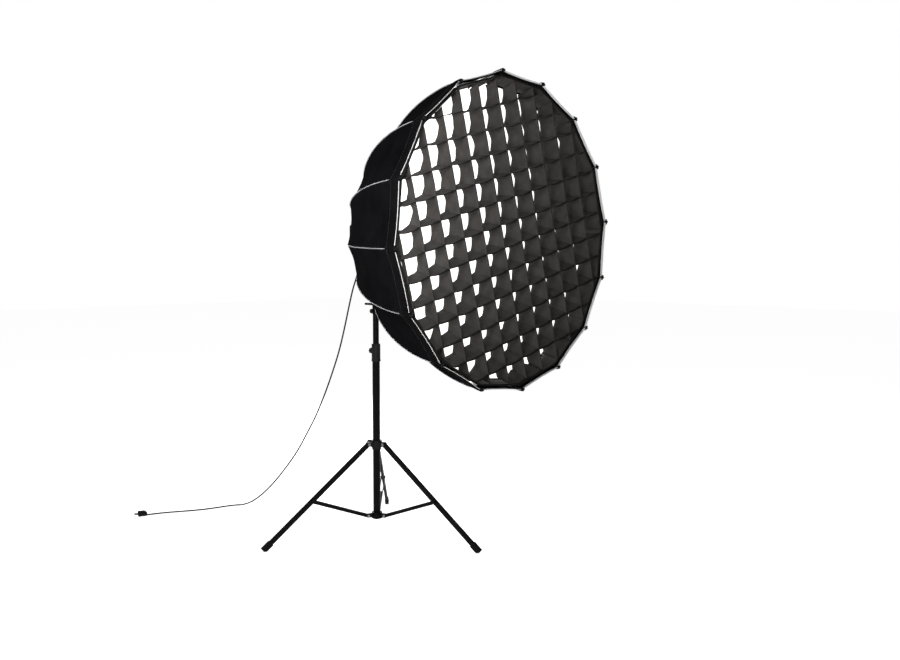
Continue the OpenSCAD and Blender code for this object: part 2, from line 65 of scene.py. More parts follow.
class Build:
    """Collects vertices, faces, material numbers and (u, v) in metres for one mesh."""

    def __init__(self):
        self.points, self.faces, self.slots, self.uvs = [], [], [], []

    def add(self, points, faces, uvs=None, slot=0):
        base = len(self.points)
        self.points += [tuple(p) for p in points]
        uvs = uvs if uvs is not None else [(p[0], p[2]) for p in points]
        for f in faces:
            self.faces.append([base + i for i in f])
            self.slots.append(slot)
            self.uvs += [uvs[i] for i in f]

    def grid(self, rows, uvs=None, closed=False, slot=0, flip=False):
        """Faces over rows of points; closed joins each row's end to its start."""
        n, m = len(rows), len(rows[0])
        points = [p for row in rows for p in row]
        flat = None if uvs is None else [q for row in uvs for q in row]
        faces = []
        for j in range(n - 1):
            for i in range(m if closed else m - 1):
                k = (i + 1) % m
                f = [j * m + i, j * m + k, (j + 1) * m + k, (j + 1) * m + i]
                faces.append(f[::-1] if flip else f)
        self.add(points, faces, flat, slot)

    def tube(self, path, radius, sides=8, slot=0, flat=1.0, start=(0, 0, 1)):
        """Round or flattened tube along a path; radius is a number or one per point."""
        path = [Vector(p) for p in path]
        n = len(path)
        radii = radius if hasattr(radius, "__len__") else [radius] * n
        side = Vector(start)
        rows, uvs, along = [], [], 0.0
        for k, p in enumerate(path):
            ahead = (path[min(k + 1, n - 1)] - path[max(k - 1, 0)]).normalized()
            side = side - ahead * side.dot(ahead)
            if side.length < 1e-6:
                side = ahead.orthogonal()
            side.normalize()
            up = ahead.cross(side)
            along += (p - path[k - 1]).length if k else 0.0
            row, uv = [], []
            for j in range(sides):
                a = 2 * math.pi * j / sides
                row.append(p + radii[k] * (math.cos(a) * side + flat * math.sin(a) * up))
                uv.append((radii[k] * a, along))
            rows.append(row)
            uvs.append(uv)
        self.grid(rows, uvs, closed=True, slot=slot)
        for row, order in ((rows[0], -1), (rows[-1], 1)):
            self.add(row, [list(range(sides))[::order]], slot=slot)

    def box(self, centre, half, axes):
        """Box with half sizes along three axes."""
        c = Vector(centre)
        x, y, z = (Vector(a) * h for a, h in zip(axes, half))
        points = [c + i * x + j * y + k * z for i in (-1, 1) for j in (-1, 1) for k in (-1, 1)]
        faces = [[0, 1, 3, 2], [4, 6, 7, 5], [0, 4, 5, 1], [2, 3, 7, 6], [0, 2, 6, 4], [1, 5, 7, 3]]
        self.add(points, faces)

    def object(self, name, materials, smooth=True):
        mesh = bpy.data.meshes.new(name)
        mesh.from_pydata([tuple(p) for p in self.points], [], self.faces)
        for m in materials:
            mesh.materials.append(m)
        mesh.polygons.foreach_set("material_index", self.slots)
        mesh.polygons.foreach_set("use_smooth", [smooth] * len(self.faces))
        layer = mesh.uv_layers.new(name="UVMap")
        layer.data.foreach_set("uv", [c for uv in self.uvs for c in uv])
        mesh.validate()
        mesh.update()
        made = bpy.data.objects.new(name, mesh)
        bpy.context.collection.objects.link(made)
        return made


def smoothstep(a, b, x):
    """0 below a, 1 above b, and a smooth rise between."""
    t = min(1.0, max(0.0, (x - a) / (b - a)))
    return t * t * (3 - 2 * t)


def thicken(piece, thickness, offset=0.0, inner_slot=0, rim_slot=0):
    """Gives a sheet its thickness: offset 0 puts half on each side, and -1 all of it inside."""
    m = piece.modifiers.new("thickness", "SOLIDIFY")
    m.thickness, m.offset = thickness, offset
    m.material_offset, m.material_offset_rim = inner_slot, rim_slot


# ---- material helpers ----


def new_material(name):
    m = bpy.data.materials.new(name)
    m.use_nodes = True
    return m, m.node_tree, m.node_tree.nodes["Principled BSDF"]


def node(tree, kind, **values):
    n = tree.nodes.new(kind)
    for key, value in values.items():
        n.inputs[key.replace("_", " ")].default_value = value
    return n


def noise_on(tree, where, scale, detail=4.0, rough=0.5):
    n = node(tree, "ShaderNodeTexNoise", Scale=scale, Detail=detail, Roughness=rough)
    tree.links.new(where, n.inputs["Vector"])
    return n.outputs["Fac"]


def ramp(tree, value, stops):
    n = tree.nodes.new("ShaderNodeValToRGB")
    while len(n.color_ramp.elements) < len(stops):
        n.color_ramp.elements.new(0.5)
    for e, (at, colour) in zip(n.color_ramp.elements, stops):
        e.position, e.color = at, (*colour, 1)
    tree.links.new(value, n.inputs["Fac"])
    return n.outputs["Color"]


def to_range(tree, value, low, high, start=0.3, stop=0.7):
    """Turns start to stop into low to high."""
    n = tree.nodes.new("ShaderNodeMapRange")
    for key, v in zip(("From Min", "From Max", "To Min", "To Max"), (start, stop, low, high)):
        n.inputs[key].default_value = v
    tree.links.new(value, n.inputs["Value"])
    return n.outputs["Result"]


def maths(tree, operation, a, b):
    n = tree.nodes.new("ShaderNodeMath")
    n.operation = operation
    for i, v in enumerate((a, b)):
        if isinstance(v, (int, float)):
            n.inputs[i].default_value = v
        else:
            tree.links.new(v, n.inputs[i])
    return n.outputs[0]


def bump(tree, shader, height, strength, distance, after=None):
    n = node(tree, "ShaderNodeBump", Strength=strength, Distance=distance)
    tree.links.new(height, n.inputs["Height"])
    if after is not None:
        tree.links.new(after, n.inputs["Normal"])
    tree.links.new(n.outputs["Normal"], shader.inputs["Normal"])
    return n.outputs["Normal"]


def wave(tree, where, axis, period):
    """Bands across an axis, one every period metres; a wave texture of scale 1 repeats every pi/10."""
    n = node(tree, "ShaderNodeTexWave", Scale=math.pi / 10 / period, Distortion=0.4, Detail=1.0)
    n.bands_direction = axis
    tree.links.new(where, n.inputs["Vector"])
    return n.outputs["Fac"]


def hard(name, dark, light, rough, metallic=0.0, grain=900, grain_depth=0.00004, patch=14, specular=0.5):
    """Painted, moulded or metal surface: slow colour patches, fine grain, uneven gloss."""
    m, tree, shader = new_material(name)
    where = node(tree, "ShaderNodeTexCoord").outputs["Object"]
    tree.links.new(ramp(tree, noise_on(tree, where, patch, 6, 0.6), [(0.3, dark), (0.72, light)]),
                   shader.inputs["Base Color"])
    tree.links.new(to_range(tree, noise_on(tree, where, patch * 4, 5), *rough), shader.inputs["Roughness"])
    shader.inputs["Metallic"].default_value = metallic
    shader.inputs["Specular IOR Level"].default_value = specular
    bump(tree, shader, noise_on(tree, where, grain, 3), 0.5, grain_depth)
    return m


def brushed(name, dark, light, rough):
    """Bare or plated metal with fine drawn lines."""
    m, tree, shader = new_material(name)
    where = node(tree, "ShaderNodeTexCoord").outputs["Object"]
    mapping = node(tree, "ShaderNodeMapping", Scale=(1, 1, 40))
    tree.links.new(where, mapping.inputs["Vector"])
    lines = noise_on(tree, mapping.outputs["Vector"], 60, 4)
    tree.links.new(ramp(tree, lines, [(0.25, dark), (0.75, light)]), shader.inputs["Base Color"])
    tree.links.new(to_range(tree, noise_on(tree, where, 40, 4), *rough), shader.inputs["Roughness"])
    shader.inputs["Metallic"].default_value = 1.0
    bump(tree, shader, lines, 0.3, 0.00003)
    return m


def painted_edge_shade(tree, where, colour, dark, shaded_hem):
    """Colour with painted shade along the hemmed front edge: darker within the given width in metres from the
    front edge, by the UV map's v.
    """
    apart = node(tree, "ShaderNodeSeparateXYZ")
    tree.links.new(where, apart.inputs[0])
    shade_fade = to_range(tree, apart.outputs["Y"], 0.0, 1.0, start=shaded_hem * 0.9, stop=shaded_hem * 1.6)
    mix = node(tree, "ShaderNodeMix")
    mix.data_type = "RGBA"
    # colour of the painted shade at the edge
    mix.inputs[6].default_value = (*[0.35 * c for c in dark], 1)
    tree.links.new(shade_fade, mix.inputs["Factor"])
    tree.links.new(colour, mix.inputs[7])
    return mix.outputs[2]


def let_through(tree, shader, share, colour):
    """Mixes in light that comes through the cloth."""
    thin = node(tree, "ShaderNodeBsdfTranslucent", Color=(*colour, 1))
    mix = node(tree, "ShaderNodeMixShader", Fac=share)
    out = [n for n in tree.nodes if n.type == "OUTPUT_MATERIAL"][0]
    tree.links.new(shader.outputs[0], mix.inputs[1])
    tree.links.new(thin.outputs[0], mix.inputs[2])
    tree.links.new(mix.outputs[0], out.inputs["Surface"])


def cloth(name, dark, light, rough, sheen, thread=0.0011, through=0.0, through_colour=(1, 1, 1), glow=0.0,
          ribbed=False, weave_depth=0.00018, patch=9, shine=0.25, shaded_hem=0.0):
    """Woven cloth on a UV map in metres: threads both ways, slubs, soft creases, uneven colour."""
    m, tree, shader = new_material(name)
    where = node(tree, "ShaderNodeUVMap").outputs["UV"]
    place = node(tree, "ShaderNodeTexCoord").outputs["Object"]
    if ribbed:
        threads = wave(tree, where, "Y", thread * 3)
    else:
        threads = maths(tree, "MAXIMUM", wave(tree, where, "X", thread), wave(tree, where, "Y", thread))
    slub = noise_on(tree, where, 420, 3)
    tone = noise_on(tree, place, patch, 6, 0.6)
    mixed = maths(tree, "ADD", maths(tree, "MULTIPLY", tone, 0.7), maths(tree, "MULTIPLY", slub, 0.18))
    mixed = maths(tree, "ADD", mixed, maths(tree, "MULTIPLY", threads, 0.12))
    colour = ramp(tree, mixed, [(0.32, dark), (0.72, light)])
    # painted shade darkens the hemmed front edge
    if shaded_hem:
        colour = painted_edge_shade(tree, where, colour, dark, shaded_hem)
    tree.links.new(colour, shader.inputs["Base Color"])
    tree.links.new(to_range(tree, slub, *rough), shader.inputs["Roughness"])
    shader.inputs["Sheen Weight"].default_value = sheen
    shader.inputs["Sheen Tint"].default_value = (0.5, 0.5, 0.52, 1)
    shader.inputs["Sheen Roughness"].default_value = 0.45
    shader.inputs["Specular IOR Level"].default_value = shine
    if glow:
        shader.inputs["Emission Color"].default_value = (1.0, 0.985, 0.96, 1)
        shader.inputs["Emission Strength"].default_value = glow
    creases = bump(tree, shader, noise_on(tree, place, 16, 5, 0.55), 0.6, 0.0032)
    bump(tree, shader, threads, 0.7, weave_depth, after=creases)
    if through:
        let_through(tree, shader, through, through_colour)
    return m


# ---- materials ----

STAND_BLACK = hard("stand_black", (0.0022, 0.0022, 0.0024), (0.0055, 0.0055, 0.0059), (0.36, 0.5),
                   grain=1400, grain_depth=0.00005, specular=0.05)
TUBE_BLACK = hard("tube_black", (0.0016, 0.0016, 0.0018), (0.0042, 0.0042, 0.0046), (0.26, 0.38),
                  grain=700, grain_depth=0.00002, specular=0.04)
MOULDED = hard("moulded_black", (0.0045, 0.0045, 0.0046), (0.0110, 0.0110, 0.0112), (0.48, 0.62),
               grain=1900, grain_depth=0.00009, specular=0.08)
KNOB = hard("knob_black", (0.0055, 0.0055, 0.0056), (0.0130, 0.0130, 0.0132), (0.52, 0.66),
            grain=2400, grain_depth=0.00011, specular=0.08)
RUBBER = hard("rubber_black", (0.0040, 0.0038, 0.0038), (0.0100, 0.0096, 0.0094), (0.72, 0.88),
              grain=1100, grain_depth=0.0001, specular=0.08)
LAMP_SHELL = hard("lamp_shell", (0.012, 0.012, 0.013), (0.024, 0.024, 0.026), (0.36, 0.5),
                  metallic=0.4, grain=1700, grain_depth=0.00007)
ZINC = brushed("zinc", (0.13, 0.13, 0.13), (0.24, 0.24, 0.235), (0.25, 0.4))
BARE = brushed("bare_aluminium", (0.5, 0.5, 0.5), (0.72, 0.72, 0.71), (0.3, 0.45))
RIB_ROD = hard("rib_rod", (0.05, 0.05, 0.052), (0.1, 0.1, 0.1), (0.25, 0.4), metallic=0.9,
               grain=500, grain_depth=0.00003)
CORD_BLACK = hard("cord_black", (0.005, 0.005, 0.005), (0.011, 0.011, 0.011), (0.42, 0.56),
                  grain=900, grain_depth=0.00006, patch=30, specular=0.08)
SKIN_BLACK = cloth("skin_black", (0.0018, 0.0018, 0.0021), (0.0052, 0.0050, 0.0057), rough=(0.5, 0.68),
                   sheen=0.004, thread=0.0012, shine=0.0)
SKIN_SILVER = cloth("skin_silver", (0.60, 0.60, 0.61), (0.82, 0.82, 0.82), rough=(0.28, 0.45), sheen=0.0,
                    thread=0.0014)
WEBBING = cloth("webbing_black", (0.0022, 0.0022, 0.0024), (0.0060, 0.0060, 0.0064), rough=(0.55, 0.7),
                sheen=0.008, shine=0.0, thread=0.0009, ribbed=True, weave_depth=0.00035)
PIPING = cloth("piping_grey", (0.20, 0.20, 0.21), (0.34, 0.34, 0.35), rough=(0.4, 0.55), sheen=0.1,
               thread=0.0008)
EDGE_TAPE = cloth("edge_tape_pale", (0.50, 0.50, 0.50), (0.66, 0.66, 0.65), rough=(0.45, 0.6), sheen=0.1,
                  thread=0.0008)
# the grid cloth has painted shade darkening its hemmed front edges
GRID_CLOTH = cloth("grid_cloth", (0.026, 0.0240, 0.0228), (0.060, 0.0560, 0.0535), rough=(0.7, 0.85),
                   sheen=0.02, shine=0.05, thread=0.0010, through=0.08, through_colour=(0.34, 0.24, 0.17),
                   shaded_hem=0.008, patch=22)
BORDER_CLOTH = cloth("border_cloth", (0.004, 0.004, 0.004), (0.010, 0.0095, 0.0095), rough=(0.65, 0.8),
                     sheen=0.01, thread=0.0010, shine=0.03)
DIFFUSER = cloth("diffuser_white", (0.84, 0.84, 0.83), (0.93, 0.93, 0.92), rough=(0.75, 0.9), sheen=0.2,
                 thread=0.0007, glow=1.6)
BAFFLE = cloth("baffle_white", (0.80, 0.80, 0.79), (0.90, 0.90, 0.89), rough=(0.75, 0.9), sheen=0.2,
               thread=0.0007, glow=6.0, through=0.3, through_colour=(0.9, 0.9, 0.88))
THREAD = hard("stitch_thread", (0.012, 0.012, 0.012), (0.03, 0.03, 0.03), (0.6, 0.7), patch=60)


def glass_material():
    """Clear glass with faint smears."""
    m, tree, shader = new_material("clear_glass")
    where = node(tree, "ShaderNodeTexCoord").outputs["Object"]
    smears = ramp(tree, noise_on(tree, where, 20), [(0.3, (0.86, 0.9, 0.9)), (0.7, (0.95, 0.97, 0.97))])
    tree.links.new(smears, shader.inputs["Base Color"])
    tree.links.new(to_range(tree, noise_on(tree, where, 60), 0.02, 0.07), shader.inputs["Roughness"])
    shader.inputs["Transmission Weight"].default_value = 0.9
    shader.inputs["IOR"].default_value = 1.46
    return m


def led_material():
    """Yellow phosphor with a fine cell pattern, lit."""
    m, tree, shader = new_material("led_phosphor")
    where = node(tree, "ShaderNodeTexCoord").outputs["Object"]
    cells = node(tree, "ShaderNodeTexVoronoi", Scale=900.0)
    tree.links.new(where, cells.inputs["Vector"])
    yellow = ramp(tree, cells.outputs["Distance"], [(0.1, (0.9, 0.72, 0.22)), (0.6, (0.98, 0.84, 0.4))])
    tree.links.new(yellow, shader.inputs["Base Color"])
    tree.links.new(to_range(tree, cells.outputs["Distance"], 0.3, 0.5), shader.inputs["Roughness"])
    shader.inputs["Emission Color"].default_value = (1.0, 0.95, 0.84, 1)
    shader.inputs["Emission Strength"].default_value = 12.0
    return m


def screen_material():
    """Dark display with a fine pattern of cells, switched off."""
    m, tree, shader = new_material("screen")
    where = node(tree, "ShaderNodeTexCoord").outputs["Object"]
    cells = maths(tree, "MULTIPLY", wave(tree, where, "X", 0.0006), wave(tree, where, "Z", 0.0006))
    tree.links.new(ramp(tree, cells, [(0.0, (0.004, 0.008, 0.01)), (1.0, (0.02, 0.05, 0.06))]),
                   shader.inputs["Base Color"])
    tree.links.new(to_range(tree, noise_on(tree, where, 80), 0.08, 0.16), shader.inputs["Roughness"])
    shader.inputs["Coat Weight"].default_value = 0.8
    return m


GLASS, LED, SCREEN = glass_material(), led_material(), screen_material()

# ---- shape of the softbox, as in the CAD part ----

TILT_Z, ROLL = 1.323, math.radians(5.8)
SIDES = 16
STEP = 2 * math.pi / SIDES
RIM_R, RIM_ANGLE, FRONT_R = 0.600, math.radians(6.5), 0.964
BEND_END = math.radians(37.5)
RING_U, ROOT_R = 0.159, 0.095
REAR_R = (RIM_R - ROOT_R - FRONT_R * (math.cos(RIM_ANGLE) - math.cos(BEND_END))) / math.cos(BEND_END)
RIM_U = RING_U + FRONT_R * (math.sin(BEND_END) - math.sin(RIM_ANGLE)) + REAR_R * (1 - math.sin(BEND_END))
FRONT_C = (RIM_R - FRONT_R * math.cos(RIM_ANGLE), RIM_U + FRONT_R * math.sin(RIM_ANGLE))
REAR_C = (FRONT_C[0] + (FRONT_R - REAR_R) * math.cos(BEND_END),
          FRONT_C[1] - (FRONT_R - REAR_R) * math.sin(BEND_END))
FRONT_LENGTH = FRONT_R * (BEND_END - RIM_ANGLE)
REAR_LENGTH = REAR_R * (math.pi / 2 - BEND_END)
RIB_LENGTH = FRONT_LENGTH + REAR_LENGTH
GRID_FRONT, GRID_DEPTH, GRID_TAPER = RIM_U - 0.006, 0.078, 0.035
CELL_W, CELL_H, GRID_TURN = 0.102, 0.0875, math.radians(8.7)


def lamp_point(x, y, u):
    """Point in the frame for sideways x, up y and forwards u from the tilt axis."""
    return Vector((x, -u, TILT_Z + y))


def on_box(x, y, u):
    """The same, with the softbox's roll."""
    c, s = math.cos(ROLL), math.sin(ROLL)
    return lamp_point(x * c - y * s, x * s + y * c, u)


def seam(s, out):
    """(radius, u) at s metres from the rim along a rib, out metres off its middle; s may be below 0."""
    if s <= FRONT_LENGTH:
        a, c, r = RIM_ANGLE + s / FRONT_R, FRONT_C, FRONT_R + out
    else:
        a, c, r = BEND_END + (s - FRONT_LENGTH) / REAR_R, REAR_C, REAR_R + out
    return c[0] + r * math.cos(a), c[1] - r * math.sin(a)


def seam_outward(s):
    """Direction (radius, u) that points off the box at s."""
    a = RIM_ANGLE + s / FRONT_R if s <= FRONT_LENGTH else BEND_END + (s - FRONT_LENGTH) / REAR_R
    return math.cos(a), -math.sin(a)


def panel_point(rib, across, s, out, inwards=0.0):
    """Point on the panel after a rib: across 0 to 1 from that rib to the next."""
    r, u = seam(s, out)
    nr, nu = seam_outward(s)
    a = math.pi / 2 + rib * STEP
    b = a + STEP
    x = r * (math.cos(a) * (1 - across) + math.cos(b) * across)
    y = r * (math.sin(a) * (1 - across) + math.sin(b) * across)
    mid = a + across * STEP
    x -= inwards * nr * math.cos(mid)
    y -= inwards * nr * math.sin(mid)
    return on_box(x, y, u - inwards * nu)


# ---- mains lead and its plug ----

# Route of the lead in millimetres, as in the CAD part: down from the gland, then along the floor
LEAD = [
    (0, 104, 1246), (-1, 106, 1220), (-2, 112, 1190), (-4, 123, 1151), (-9, 146, 1090),
    (-13, 170, 1010), (-19, 200, 900), (-25, 232, 800), (-33, 272, 700), (-41, 318, 600),
    (-51, 370, 500), (-62, 430, 405), (-73, 496, 310), (-90, 574, 216), (-106, 650, 136),
    (-121, 724, 72), (-136, 790, 28), (-152, 840, 7), (-180, 868, 3.6), (-220, 882, 3.6),
    (-270, 892, 3.6), (-330, 908, 3.6), (-390, 934, 3.6), (-450, 966, 3.6),
    (-508, 994, 3.6), (-562, 1012, 3.6),
]
LEAD_R = 0.0035


def smooth_path(points, per_span):
    """Catmull-Rom curve through the points."""
    p = [Vector(q) for q in points]
    n = len(p)
    out = []
    for i in range(n - 1):
        a, b, c, d = p[max(i - 1, 0)], p[i], p[i + 1], p[min(i + 2, n - 1)]
        for k in range(per_span):
            t = k / per_span
            out.append(0.5 * (2 * b + (c - a) * t + (2 * a - 5 * b + 4 * c - d) * t * t
                              + (3 * b - a - 3 * c + d) * t ** 3))
    out.append(p[-1])
    return out


lead_path = [Vector(q) * 0.001 for q in smooth_path(LEAD, 5)]
lead_build = Build()
lead_build.tube(lead_path, LEAD_R, sides=12, start=(1, 0, 0))
lead = lead_build.object("mains_lead", [CORD_BLACK])
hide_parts("power_lead")


# Sections of the plug's body: distance from the lead's end, half width, half height, height of the middle
PLUG_BODY = [
    (0.0140, 0.0040, 0.0040, 0.0065), (0.0148, 0.0100, 0.0090, 0.0090), (0.0200, 0.0150, 0.0118, 0.0124),
    (0.0300, 0.0168, 0.0127, 0.0131), (0.0400, 0.0150, 0.0122, 0.0131), (0.0470, 0.0168, 0.0128, 0.0131),
    (0.0535, 0.0166, 0.0126, 0.0131), (0.0548, 0.0150, 0.0112, 0.0131),
]
PLUG_SIDES, PLUG_HEIGHT = 28, 0.0131
PIN_HALF_GAP, PIN_FROM, PIN_R = 0.009, 0.0545, 0.0024
SLEEVE_RINGS, SLEEVE_STEP = 13, 0.0012


def plug_section(centre, side, up, half_width, half_height):
    """Ring of points with rounded corners."""
    row = []
    for j in range(PLUG_SIDES):
        a = 2 * math.pi * j / PLUG_SIDES
        x = half_width * math.copysign(abs(math.cos(a)) ** 0.6, math.cos(a))
        y = half_height * math.copysign(abs(math.sin(a)) ** 0.6, math.sin(a))
        row.append(centre + side * x + up * y)
    return row


def plug_piece():
    """Moulded plug: sleeve with grooves, body that swells and narrows, two round pins."""
    end, back = lead_path[-1], lead_path[-1] - lead_path[-4]
    ahead = Vector((back.x, back.y, 0)).normalized()
    side = Vector((-ahead.y, ahead.x, 0))
    up = Vector((0, 0, 1))
    b = Build()
    sleeve = [end + ahead * (0.0003 + k * SLEEVE_STEP) + up * 0.0004 for k in range(SLEEVE_RINGS)]
    b.tube(sleeve, [0.0040 if k % 2 else 0.0034 for k in range(SLEEVE_RINGS)], sides=16, start=side)
    foot = Vector((end.x, end.y, 0))
    rows = [plug_section(foot + ahead * along + up * z, side, up, w, h) for along, w, h, z in PLUG_BODY]
    b.grid(rows, closed=True)
    b.add(rows[0], [list(range(PLUG_SIDES))[::-1]])
    b.add(rows[-1], [list(range(PLUG_SIDES))])
    for s in (-PIN_HALF_GAP, PIN_HALF_GAP):
        base = foot + up * PLUG_HEIGHT + ahead * PIN_FROM + side * s
        pin = [base + ahead * x for x in (0, 0.0085, 0.009, 0.0175, 0.0187, 0.0192)]
        b.tube(pin[:3], [0.0022, 0.0022, PIN_R], sides=16, start=side)
        b.tube(pin[2:], [PIN_R, PIN_R, 0.0019, 0.0010], sides=16, slot=1, start=side)
    piece = b.object("mains_plug", [MOULDED, ZINC])
    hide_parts("plug")
    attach(piece, "yoke")
    return piece


plug = plug_piece()
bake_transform(lead)

# ---- skin ----

SKIN_OUT = 0.0046        # outer face of the cloth, from the middle of the ribs
ACROSS, ALONG = 14, 72
LIP = 0.0006
PANEL_WIDTH = 0.234      # of one panel at the mouth
SAG = 0.062              # of a panel's width
BIG_FOLDS, SMALL_FOLDS = 0.0016, 0.0012
AROUND = [(rib, k / ACROSS) for rib in range(SIDES) for k in range(ACROSS)]


def wrinkle(p, size, stretch):
    """Smooth noise from about -1 to 1 at point p, stretched along the forwards axis."""
    q = Vector((p.x / size, p.y / (size * stretch), p.z / size))
    return noise.noise(q) + 0.45 * noise.noise(q * 2.3)


def skin_sag(across, s):
    """How far the cloth between two ribs is pulled in towards the axis."""
    t = min(1.0, max(0.0, s / RIB_LENGTH))
    width = 2 * seam(max(s, 0), 0)[0] * math.sin(STEP / 2)
    along = math.sin(math.pi * min(1, t * 1.02 + 0.03)) ** 0.55
    return width * SAG * along * (4 * across * (1 - across)) ** 0.9


def skin_point(rib, across, s, lift=0.0):
    """Point on the finished skin; lift is metres off the cloth."""
    edge = 4 * across * (1 - across)
    p = panel_point(rib, across, s, SKIN_OUT)
    t = min(1.0, max(0.0, s / RIB_LENGTH))
    calm = smoothstep(0.0, 0.10, t) * smoothstep(1.0, 0.93, t)
    folds = BIG_FOLDS * wrinkle(p + Vector((0, 0, rib * 3.7)), 0.055, 0.55)
    folds += SMALL_FOLDS * wrinkle(p + Vector((rib * 1.9, 0, 0)), 0.024, 3.0) * (1 - edge)
    return panel_point(rib, across, s, SKIN_OUT + lift, skin_sag(across, s) + folds * min(1, edge * 3) * calm)


def skin_row(s, lift=0.0):
    return [skin_point(rib, across, s, lift) for rib, across in AROUND]


def uv_row(s):
    return [((rib + across) * PANEL_WIDTH, s) for rib, across in AROUND]


def skin_piece():
    """One sheet over all sixteen ribs, silver inside."""
    places = [-LIP] + [RIB_LENGTH * (k / ALONG) for k in range(ALONG + 1)]
    b = Build()
    b.grid([skin_row(s) for s in places], [uv_row(s) for s in places], closed=True, flip=True)
    return b.object("skin_cloth", [SKIN_BLACK, SKIN_SILVER])


skin = skin_piece()
thicken(skin, 0.0009, offset=-1.0, inner_slot=1, rim_slot=1)
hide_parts("skin")
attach(skin, "softbox")

PIPING_FROM, PIPING_TO, PIPING_R = 0.056, RIB_LENGTH - 0.012, 0.0017
PIPING_SPANS = 56


def seam_line(rib, lift, start, stop, count):
    return [skin_point(rib, 0.0, start + (stop - start) * k / count, lift) for k in range(count + 1)]


def piping_piece():
    """Grey piping along each seam; its front end runs thin into the band."""
    b = Build()
    radii = [0.0009] + [PIPING_R] * PIPING_SPANS
    for rib in range(SIDES):
        line = seam_line(rib, 0.0012, PIPING_FROM, PIPING_TO, PIPING_SPANS)
        b.tube(line, radii, sides=8, flat=0.8, start=on_box(0, 0, 1) - on_box(0, 0, 0))
    return b.object("seam_piping", [PIPING])


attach(piping_piece(), "softbox")

BAND, BAND_SPANS = 0.052, 8


def band_piece():
    """Webbing sewn round the front edge, in front of the piping's ends."""
    places = [BAND * k / BAND_SPANS for k in range(BAND_SPANS + 1)]
    b = Build()
    b.grid([skin_row(s, 0.0007) for s in places], [uv_row(s) for s in places], closed=True)
    piece = b.object("front_band", [WEBBING])
    thicken(piece, 0.0006)
    return piece


band = band_piece()
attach(band, "softbox")

# Section of the bound edge: distance back from the rim along the rib, and lift off the skin's outer face
EDGE_SECTION = [(0.0010, 0.0007), (-0.0006, 0.0007), (-0.0013, 0.0), (-0.0010, -0.0010),
                (0.002, -0.0013), (0.008, -0.0013)]


def edge_piece():
    """Pale bound edge round the mouth."""
    b = Build()
    b.grid([[panel_point(rib, across, back, SKIN_OUT + lift, skin_sag(across, 0)) for rib, across in AROUND]
            for back, lift in EDGE_SECTION], closed=True, flip=True)
    return b.object("mouth_edge_tape", [EDGE_TAPE])


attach(edge_piece(), "softbox")

LOOP_FROM, LOOP_TO, LOOP_DEEP = 0.0075, 0.056, -0.0016
LOOP_SPANS = 8


def loop_piece():
    """Black loop tape inside the mouth, behind the bound edge; the grid's wall grips it."""
    places = [LOOP_FROM + (LOOP_TO - LOOP_FROM) * k / LOOP_SPANS for k in range(LOOP_SPANS + 1)]
    b = Build()
    b.grid([[panel_point(rib, across, s, SKIN_OUT + LOOP_DEEP, skin_sag(across, s)) for rib, across in AROUND]
            for s in places], [uv_row(s) for s in places], closed=True, flip=True)
    return b.object("mouth_loop_tape", [BORDER_CLOTH])


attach(loop_piece(), "softbox")

STITCH_LENGTH, STITCH_WIDTH = 0.0028, 0.00045
BAND_STITCHES, BAND_STITCH_GAP = (0.0035, 0.0475, 0.0495), 0.0036
SEAM_STITCHES, SEAM_STITCH_GAP = (0.022, 0.978), 0.0046


def stitch_row(build, points):
    """One stitch from each point to the next, with a gap after it."""
    for a, b in zip(points[::2], points[1::2]):
        d = (b - a).normalized()
        out = (a - on_box(0, 0, -(a.y))).normalized()
        side = d.cross(out).normalized()
        half = (STITCH_LENGTH / 2, STITCH_WIDTH / 2, STITCH_WIDTH / 2)
        build.box((a + b) / 2, half, (d, side, side.cross(d)))


def even(points, gap):
    """Points every gap metres along a line."""
    out, left = [points[0]], gap
    for a, b in zip(points, points[1:]):
        length = (b - a).length
        d = (b - a).normalized() if length > 1e-9 else Vector()
        at = 0.0
        while length - at >= left:
            at += left
            out.append(a + d * at)
            left = gap
        left -= length - at
    return out


def stitches_piece():
    """Stitches along the band and beside the piping."""
    b = Build()
    long = PIPING_TO - 0.18 - PIPING_FROM
    for rib in range(SIDES):
        for depth in BAND_STITCHES:
            line = [skin_point(rib, 0.012 + 0.976 * k / 20, depth, 0.0013) for k in range(21)]
            stitch_row(b, even(line, BAND_STITCH_GAP))
        for across in SEAM_STITCHES:
            line = [skin_point(rib, across, PIPING_FROM + long * k / 40, 0.0003) for k in range(41)]
            stitch_row(b, even(line, SEAM_STITCH_GAP))
    return b.object("stitches", [THREAD], smooth=False)


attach(stitches_piece(), "softbox")

# Pocket from inside the mouth, over the rim and back along the rib: place along the rib, lift off the
# skin, half width
POCKET = [(-0.0040, -0.0075, 0.0085), (-0.0062, -0.0030, 0.0100), (-0.0056, 0.0020, 0.0105),
          (-0.0030, 0.0046, 0.0110), (0.0020, 0.0046, 0.0120), (0.0080, 0.0040, 0.0150),
          (0.0150, 0.0034, 0.0180), (0.0240, 0.0026, 0.0190), (0.0336, 0.0014, 0.0150)]
POCKET_SPANS = 8


def pockets_piece():
    """Sewn pockets that the rib caps push into."""
    b = Build()
    for rib in range(SIDES):
        a = math.pi / 2 + rib * STEP
        rows, uvs = [], []
        for s, lift, half in POCKET:
            row, uv = [], []
            for j in range(POCKET_SPANS + 1):
                w = (j / POCKET_SPANS - 0.5) * 2
                r, u = seam(s, SKIN_OUT + lift * (1 - 0.4 * w * w))
                r -= abs(w) * half * math.sin(STEP / 2)
                x = r * math.cos(a) - w * half * math.sin(a)
                y = r * math.sin(a) + w * half * math.cos(a)
                row.append(on_box(x, y, u))
                uv.append((w * half, s))
            rows.append(row)
            uvs.append(uv)
        b.grid(rows, uvs)
    piece = b.object("rib_pockets", [WEBBING])
    thicken(piece, 0.0008)
    return piece


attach(pockets_piece(), "softbox")

COLLAR_R, COLLAR_SWELL, COLLAR_GATHERS = 0.0945, 0.0035, 40
COLLAR_SIDES, COLLAR_SPANS = 160, 8


